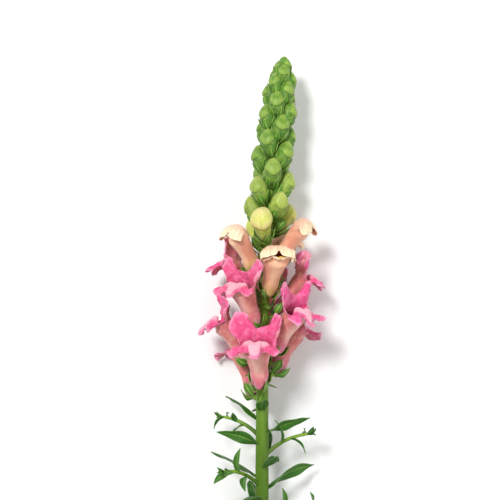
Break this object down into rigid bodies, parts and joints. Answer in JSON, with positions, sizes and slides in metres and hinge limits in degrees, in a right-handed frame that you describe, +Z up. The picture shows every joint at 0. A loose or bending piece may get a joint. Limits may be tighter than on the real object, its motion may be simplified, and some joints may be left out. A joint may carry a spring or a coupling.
{
  "type": "cut snapdragon stem",
  "caption": "Cut snapdragon stem lying on a flat surface: pink open blooms, peach opening blooms, lime buds and a tapering spike of green buds over lance-shaped leaves.",
  "frame": {"origin": "centre of the stem's footprint on the surface that it lies on", "axes": "+Y along the stem from the cut end to the tip, +Z up, +X to the right when the tip points away"},
  "size_m": [0.0788, 0.386, 0.0622],
  "materials": {
    "green": "fresh leaf and stem, satin",
    "pink_petal": "soft pink petal",
    "peach_petal": "soft peach petal",
    "lime_bud": "smooth closed petals, yellow-green"
  },
  "bodies": {
    "root": {"leafy_stem": "green", "bloom_01": "pink_petal", "bloom_02": "pink_petal", "bloom_03": "pink_petal", "bloom_04": "pink_petal", "bloom_05": "pink_petal", "bloom_06": "pink_petal", "bloom_07": "pink_petal", "bloom_08": "pink_petal", "bloom_09": "pink_petal", "bloom_10": "peach_petal", "bloom_11": "peach_petal", "bloom_12": "peach_petal", "bloom_13": "peach_petal", "closed_bud_14": "lime_bud", "closed_bud_15": "lime_bud", "closed_bud_16": "lime_bud"}
  },
  "joints": []
}
